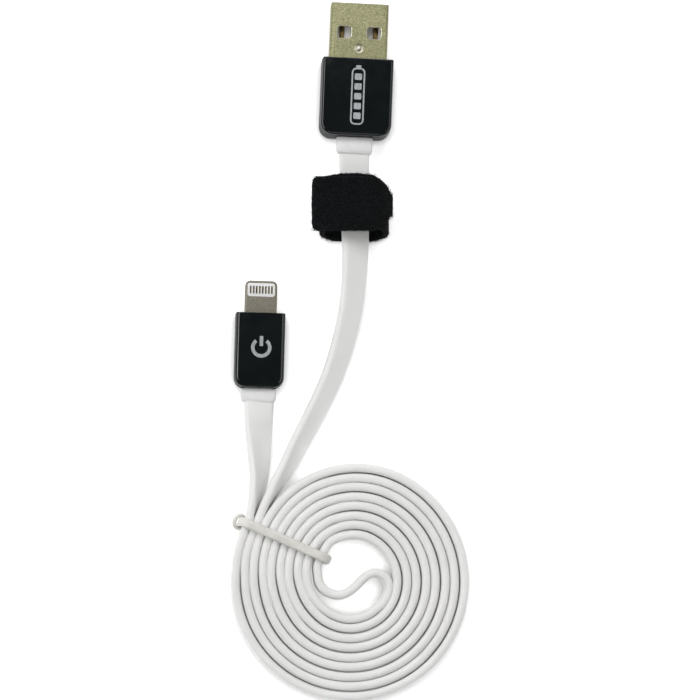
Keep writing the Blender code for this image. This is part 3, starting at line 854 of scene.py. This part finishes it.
def outer_line():
    """The middle of the second layer, up the right side, over the roof and down past the left edge."""
    out = TAPE_THICK / 2
    side, roof = STRAP_RIGHT + out - PRESSED_IN, STRAP_TOP + out
    bend = STRAP_CORNER + out
    rise = arc((side - bend, roof - bend), bend, bend, range(0, 91, 9))
    knots = [(side, OUTER_LOW), (side, 3.8)] + rise + [(1.5, roof), (-1.0, roof), (FLAP_HINGE_X, roof)]
    return spaced(smooth_line(knots + list(FLAP_DROOP), 0.4), 0.4)


def strap_outer():
    """The second layer and its free end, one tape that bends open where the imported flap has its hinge."""
    line = outer_line()
    length = [0.0]
    for a, b in zip(line, line[1:]):
        length.append(length[-1] + math.dist(a, b))

    def narrow(i):
        left = length[-1] - length[i]
        begun = min(1.0, 0.55 + length[i] / 1.2)
        if length[i] < TONGUE_END:
            rounded = math.sqrt(min(1.0, 0.25 + length[i] / 1.5))
            widening = smooth_step((length[i] - TONGUE_START) / (TONGUE_END - TONGUE_START))
            return rounded * (TONGUE_WIDTH + (1 - TONGUE_WIDTH) * widening), begun
        thin = min(1.0, 0.45 + 1.1 * left / FLAP_CORNER)
        if left >= FLAP_CORNER:
            return 1.0, begun
        cut_back = FLAP_CORNER - math.sqrt(max(0.0, FLAP_CORNER ** 2 - (FLAP_CORNER - left) ** 2))
        return 1.0 - 2 * cut_back / TAPE_WIDTH, thin

    def shift(x, z):
        return 0.05 * max(0.0, 9.0 - z) * (x > 0) - OUTER_BACK

    frames = tape_frames(line, False, shift, narrow)
    tape, fuzz = pile_tape("strap_outer", frames, False, None, ("strap_outer_layer", "strap_flap"),
                           3400, (-1,), 23)
    for piece in (tape, fuzz):
        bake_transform(piece)


def beside(line, distance):
    """The line moved sideways by that distance, to the left of the way it runs."""
    moved = []
    for i, (x, z) in enumerate(line):
        (x0, z0), (x1, z1) = neighbours(line, i)
        across = Vector((z0 - z1, x1 - x0)).normalized() * distance
        moved.append((x + across.x, z + across.y))
    return moved


def hook_pad():
    """A strip of moulded hooks on the underside of the free end."""
    under = beside(list(FLAP_DROOP), TAPE_THICK / 2 + 0.06 + HOOK_THICK / 4)[:-1]
    line = spaced(smooth_line(under, 0.3), 0.3)
    frames = tape_frames(line, False, lambda x, z: -OUTER_BACK)
    section = outline(TAPE_WIDTH - 1.6, HOOK_THICK / 2, 0.06, steps=2)
    meshes = [sweep("hook_strip", frames, section)]
    stem = outline(0.10, 0.08, 0.03, steps=1)
    for row, (origin, across, up, _, _) in enumerate(frames[1:-1]):
        ahead = up.cross(across)
        for column in range(HOOKS_ACROSS):
            offset = ((column + 0.5) / HOOKS_ACROSS - 0.5) * (TAPE_WIDTH - 2.0)
            lean = -1 if (row + column) % 2 else 1
            base = origin + across * (offset * MM) + up * (HOOK_THICK / 4 * MM)
            bend = [(base + up * (rise * MM) + ahead * (lean * go * MM), across, ahead, MM, MM)
                    for go, rise in ((0.0, 0.0), (0.01, 0.08), (0.05, 0.13), (0.11, 0.11))]
            meshes.append(sweep("hook", bend, stem))
    finish_object("strap_hook_strip", join("strap_hook_strip", meshes), HOOK, "strap_flap",
                  ("strap_hook_pad",), sharp=60)


# What both plugs have

MARK_RISE = 0.02                # the ink stands this far out of a cover, and reaches as far into it
FRONT_SHARE = 0.2               # a cover's front edge is rounded by this share of its other edges


def cover(prefix, side, size, wall, rear_corner, edge, draft, plateau, mouth, neck, matrix):
    """One half of a plug's cover: a hollow shell with round rear corners and a rounded rim, open in front
    for the metal and behind for the collar's neck. Its walls lean in by the draft from bottom to rim. Its
    face stands on a plateau, (in, up) from the rim, that runs on to the front edge."""
    width, length, height = size
    half = height / 2
    step_in, step_up = plateau[0] + draft, plateau[1]

    def outer(inset, front):
        """The cover's outline moved inwards, and at its front end by an amount of its own."""
        corner = rear_corner - inset
        return outline(width - 2 * inset, length - inset - front, (0.3, 0.3, corner, corner), 0,
                       (0, (inset - front - length) / 2), steps=14)

    inner = outline(width, length, (wall + 0.1, wall + 0.1, rear_corner, rear_corner), wall,
                    (0, -length / 2), steps=14)
    rings = [level(inner, half - wall), level(inner, 0.05), level(outer(0.10, FRONT_SHARE * 0.10), 0.03),
             level(outer(0.0, 0.0), 0.12)]
    for inset, rise in rounding(edge, 8):
        inset += draft
        rings.append(level(outer(inset, FRONT_SHARE * inset), half - step_up + rise))
    if step_up:
        for inset, rise in ((-2.4, -1), (-0.2, -0.06), (0.2, 0)):
            rings.append(level(outer(step_in + inset * step_up, FRONT_SHARE * edge), half + rise * step_up))
    mesh = skin("cover", rings, matrix=Matrix.Scale(side, 4, UP))
    mesh = cut(mesh, skin("mouth", [upright(mouth, -2.2 * wall), upright(mouth, 1.0)]),
               skin("neck", [upright(neck, -length - 1.0), upright(neck, -length + 2.2 * wall)]))
    settle(mesh, matrix)
    word = "upper" if side > 0 else "lower"
    return finish_object(f"{prefix}_{word}_shell", mesh, GLOSS, "cable",
                         (f"{prefix}_{word}_cover",))


def collar(name, node, rear, stages, matrix):
    """The soft strain relief: a skin through (y, width, height, corner radius) stages. y is from the cover's
    rear end."""
    rings = [upright(outline(width, height, radius, steps=5), rear + y)
             for y, width, height, radius in stages]
    return finish_object(name, skin(name, rings, matrix=matrix), COLLAR, "cable", (node,),
                         sharp=50)


def ribbon(path, half_width, low, high, closed=True):
    """A raised line of ink along a path in the plug's x and y."""
    section = [(-half_width, low), (half_width, low), (half_width, high), (-half_width, high)]
    frames = []
    for i, (x, y) in enumerate(path):
        (x0, y0), (x1, y1) = neighbours(path, i, closed)
        ahead = Vector((x1 - x0, y1 - y0, 0)).normalized()
        frames.append((Vector((x, y, 0)), ahead.cross(UP), UP, 1, 1))
    return sweep("ribbon", frames, section, cyclic=closed)


def ink(name, meshes, matrix):
    mesh = join(name, meshes)
    settle(mesh, matrix)
    return finish_object(name, mesh, INK, "cable")


# The USB plug, in mm in its own frame

USB_COVER = (14.9, 16.3, 7.5)
SHELL_WIDTH, SHELL_HEIGHT, SHELL_OUT, SHELL_LENGTH, SHELL_WALL = 12.0, 4.5, 11.7, 18.0, 0.3
WINDOW_WIDE, WINDOW_LONG, WINDOW_X, WINDOW_Y = 2.75, 2.4, 3.1, 5.5
DIMPLE, DIMPLE_RADIUS = (0.05, 2.15), 1.10


def dimple_ring(radius):
    return arc(DIMPLE, radius, radius, range(0, 360, 9))


def window(x, out):
    """The outline of a window of the shell, grown outwards."""
    return outline(WINDOW_WIDE, WINDOW_LONG, 0.6, -out, (x, WINDOW_Y))


def shell_body():
    """The bent plate: a tube with a rounded lip in front, pierced by its windows and its dimple."""
    rear = SHELL_OUT - SHELL_LENGTH

    def rings(wall, radius, stages):
        shape = (SHELL_WIDTH - 2 * wall, SHELL_HEIGHT - 2 * wall, radius)
        return [upright(outline(*shape, inset, steps=6), y) for inset, y in stages]

    outside = ((0, rear), (0, SHELL_OUT - 0.12), (0.05, SHELL_OUT - 0.03), (0.13, SHELL_OUT))
    inside = ((-0.06, SHELL_OUT - 0.04), (0, SHELL_OUT - 0.35), (0, rear))
    tube = skin("tube", rings(0, 0.55, outside) + rings(SHELL_WALL, 0.30, inside), cyclic=True)
    cutters = [slab(window(x, 0.18), -4.0, 4.0) for x in (-WINDOW_X, WINDOW_X)]
    cutters.append(slab(dimple_ring(DIMPLE_RADIUS), SHELL_HEIGHT / 2 - 1.0, SHELL_HEIGHT))
    seam = outline(0.10, SHELL_LENGTH + 2, 0.02, 0, (0, SHELL_OUT - SHELL_LENGTH / 2), steps=1)
    cutters.append(slab(seam, -SHELL_HEIGHT, -SHELL_HEIGHT / 2 + 0.12))
    return cut(tube, *cutters)


def window_lip(x, side):
    """The lip of a window, turned in when it was punched."""
    profile = ((0.185, 0.0), (0.10, -0.025), (0.03, -0.09), (0.0, -0.20), (0.0, -0.48), (0.12, -0.50),
               (0.185, -0.35))
    rings = [level(window(x, out), side * (SHELL_HEIGHT / 2 + rise)) for out, rise in profile]
    return skin("lip", rings, cyclic=True)


def dimple():
    """A round dent with a stud raised in the middle of it."""
    profile = ((0.05, -0.60), (0.70, -0.65), (1.00, -0.58), (1.105, -0.35), (1.105, 0.0), (1.06, -0.02),
               (0.98, -0.09), (0.90, -0.22), (0.80, -0.33), (0.66, -0.36), (0.54, -0.33), (0.46, -0.22),
               (0.38, -0.13), (0.28, -0.09), (0.05, -0.08))
    return skin("dimple", [level(dimple_ring(radius), SHELL_HEIGHT / 2 + rise) for radius, rise in profile])


def usb_shell():
    body = shell_body()
    punched = join("usb_shell_punched_rims",
                   [dimple()] + [window_lip(x, side) for x in (-WINDOW_X, WINDOW_X) for side in (1, -1)])
    settle(body, USB)
    settle(punched, USB)
    finish_object("usb_metal_shell", body, OLIVE_PLATE, "cable", ("usb_shell",), sharp=30)
    finish_object("usb_shell_punched_rims", punched, BURNISHED, "cable", sharp=50)


def usb_mark():
    """A printed battery with five bars, in place of any lettering."""
    low, high = USB_COVER[2] / 2 - MARK_RISE, USB_COVER[2] / 2 + MARK_RISE
    x, y = 0.1, -8.1
    case = outline(2.5, 11.6, 0.8, 0, (x, y), steps=6)
    nub = outline(1.1, 0.5, 0.15, 0, (x, y + 6.25), steps=3)
    meshes = [ribbon(case, 0.16, low, high), slab(nub, low, high)]
    for i in range(5):
        bar = outline(1.5, 1.35, 0.25, 0, (x, y + (i - 2) * 2.05), steps=3)
        meshes.append(slab(bar, low, high))
    return ink("usb_printed_mark", meshes, USB)


def usb_plug():
    mouth = outline(SHELL_WIDTH + 0.14, SHELL_HEIGHT + 0.14, 0.6, steps=6)
    neck = outline(6.4, 2.4, 0.5, steps=4)
    usb_shell()
    for side in (1, -1):
        cover("usb", side, USB_COVER, 1.1, 2.5, 0.62, 0.06, (0.0, 0.0), mouth, neck, USB)
    stages = ((2.2, 7.4, 3.0, 0.3), (1.25, 7.4, 3.0, 0.3), (1.25, 6.2, 2.2, 0.4), (-0.05, 6.2, 2.2, 0.4),
              (-0.05, 7.3, 2.7, 0.5), (-0.20, 7.6, 3.0, 0.6), (-2.6, 7.6, 3.0, 0.7), (-3.1, 7.35, 2.8, 0.8),
              (-3.4, 6.95, 2.45, 0.9), (-3.5, 6.6, 2.15, 0.8))
    collar("usb_strain_relief", "usb_collar", -USB_COVER[1], stages, USB)
    usb_mark()


# The phone plug, in mm in its own frame

PHONE_COVER = (10.4, 15.6, 6.0)
TAB_WIDTH, TAB_LENGTH, TAB_HEIGHT, TAB_OUT, TAB_CORNER = 6.7, 10.8, 1.5, 6.8, 1.1
TAB_WINDOW_WIDE, TAB_WINDOW_LONG, TAB_WINDOW_Y = 5.8, 2.9, 4.9
CATCH_Y = 2.15


def soft_edged(shape, half, edge, steps):
    """Rings of a bar from -half to half, with its edges rounded. shape(inset) is its outline."""
    side = rounding(edge, steps)
    return ([level(shape(inset), -half - rise) for inset, rise in side[::-1]]
            + [level(shape(inset), half + rise) for inset, rise in side])


def tab_frame():
    """The steel tab: a round-cornered bar with soft edges, a window near its tip, a catch on each side and
    a flange inside the cover."""
    def shape(inset):
        return outline(TAB_WIDTH, TAB_LENGTH, (TAB_CORNER, TAB_CORNER, 0.1, 0.1), inset,
                       (0, TAB_OUT - TAB_LENGTH / 2))

    bar = skin("tab", soft_edged(shape, TAB_HEIGHT / 2, 0.32, 5))
    hole = outline(TAB_WINDOW_WIDE, TAB_WINDOW_LONG, 0.6, 0, (0, TAB_WINDOW_Y))
    slot = outline(5.3, TAB_LENGTH, 0.1, 0, (0, TAB_WINDOW_Y - TAB_LENGTH / 2), steps=1)
    cutters = [slab(hole, -2, 2), slab(slot, -0.4, 0.4)]
    for x in (-1, 1):
        rings = []
        for k in range(1, 8):
            rise, reach = math.cos(math.pi * k / 8), math.sin(math.pi * k / 8)
            middle = (x * (TAB_WIDTH / 2 + 0.22), CATCH_Y)
            rings.append(level(arc(middle, 0.42 * reach, 0.75 * reach, range(0, 360, 18)), 0.5 * rise))
        cutters.append(skin("catch", rings))
    plate = outline(8.0, 2.0, 0.3, 0, (0, TAB_OUT - TAB_LENGTH + 1.0), steps=3)
    flange = cut(slab(plate, -1.3, 1.3), slab(slot, -0.4, 0.4))
    mesh = join("phone_plug_tab", [cut(bar, *cutters), flange])
    settle(mesh, PHONE)
    return finish_object("phone_plug_tab", mesh, STEEL, "cable", ("phone_plug_frame",),
                         sharp=40)


def tab_core():
    """The white moulding that fills the window and holds the contacts, level with the steel."""
    def shape(inset):
        return outline(TAB_WINDOW_WIDE - 0.08, TAB_WINDOW_LONG - 0.08, 0.55, inset, (0, TAB_WINDOW_Y))

    core = skin("core", soft_edged(shape, 0.715, 0.06, 2), matrix=PHONE)
    return finish_object("phone_plug_moulding", core, WHITE, "cable", ("phone_plug_core",))


def phone_mark():
    """A printed ring with a gap and a stroke in it, the usual sign for power."""
    low, high = PHONE_COVER[2] / 2 - MARK_RISE, PHONE_COVER[2] / 2 + MARK_RISE
    x, y, gap = 0.25, -7.3, 38
    ring = arc((x, y), 1.75, 1.75, range(90 + gap, 451 - gap, 4))
    stroke = outline(0.72, 2.1, 0.05, 0, (x, y + 1.35), steps=1)
    meshes = [ribbon(ring, 0.36, low, high, closed=False), slab(stroke, low, high)]
    return ink("phone_printed_mark", meshes, PHONE)


def phone_plug():
    mouth = outline(TAB_WIDTH + 0.14, TAB_HEIGHT + 0.14, 0.4, steps=6)
    neck = outline(6.2, 2.2, 0.5, steps=4)
    pieces = [tab_frame(), tab_core()]
    pieces += [cover("phone", side, PHONE_COVER, 1.0, 2.3, 0.30, 0.10, (0.66, 0.12), mouth, neck, PHONE)
               for side in (1, -1)]
    stages = ((2.1, 7.2, 2.8, 0.3), (1.15, 7.2, 2.8, 0.3), (1.15, 6.0, 2.0, 0.4), (-0.05, 6.0, 2.0, 0.4),
              (-0.05, 7.1, 2.45, 0.5), (-0.20, 7.4, 2.7, 0.6), (-2.0, 7.4, 2.7, 0.7), (-2.5, 7.15, 2.5, 0.8),
              (-2.8, 6.75, 2.2, 0.9), (-2.9, 6.4, 2.0, 0.8))
    pieces.append(collar("phone_strain_relief", "phone_collar", -PHONE_COVER[1], stages, PHONE))
    return pieces + [phone_mark()]


# Carried-over nodes

def paint_cad_nodes():
    """The plugs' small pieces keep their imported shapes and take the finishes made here."""
    board, chip, capacitor = board_finish(), chip_finish(), capacitor_finish()
    wires = {"red": (0.50, 0.025, 0.018), "white": (0.78, 0.78, 0.78), "green": (0.02, 0.28, 0.06),
             "black": (0.015, 0.015, 0.016)}
    wire_finishes = {colour: wire_finish(f"wire_{colour}", value) for colour, value in wires.items()}
    for name, node in frame["nodes"].items():
        if "contact" in name:
            material = GOLD
        elif "_wire_" in name:
            material = wire_finishes[name.rsplit("_", 1)[1]]
        elif "capacitor" in name:
            material = capacitor
        else:
            material = {"phone_circuit_board": board, "phone_controller_chip": chip}.get(name, WHITE)
        node.data.materials.clear()
        node.data.materials.append(material)


def main():
    add_camera()
    flat_cable, path = cable()
    studio()
    floor()
    coil_tie()
    strap_loop()
    strap_outer()
    hook_pad()
    usb_plug()
    plug = phone_plug()
    plug += [frame["nodes"][f"phone_contact_{side}_{i}"] for side in ("top", "bottom") for i in range(1, 9)]
    paint_cad_nodes()


main()
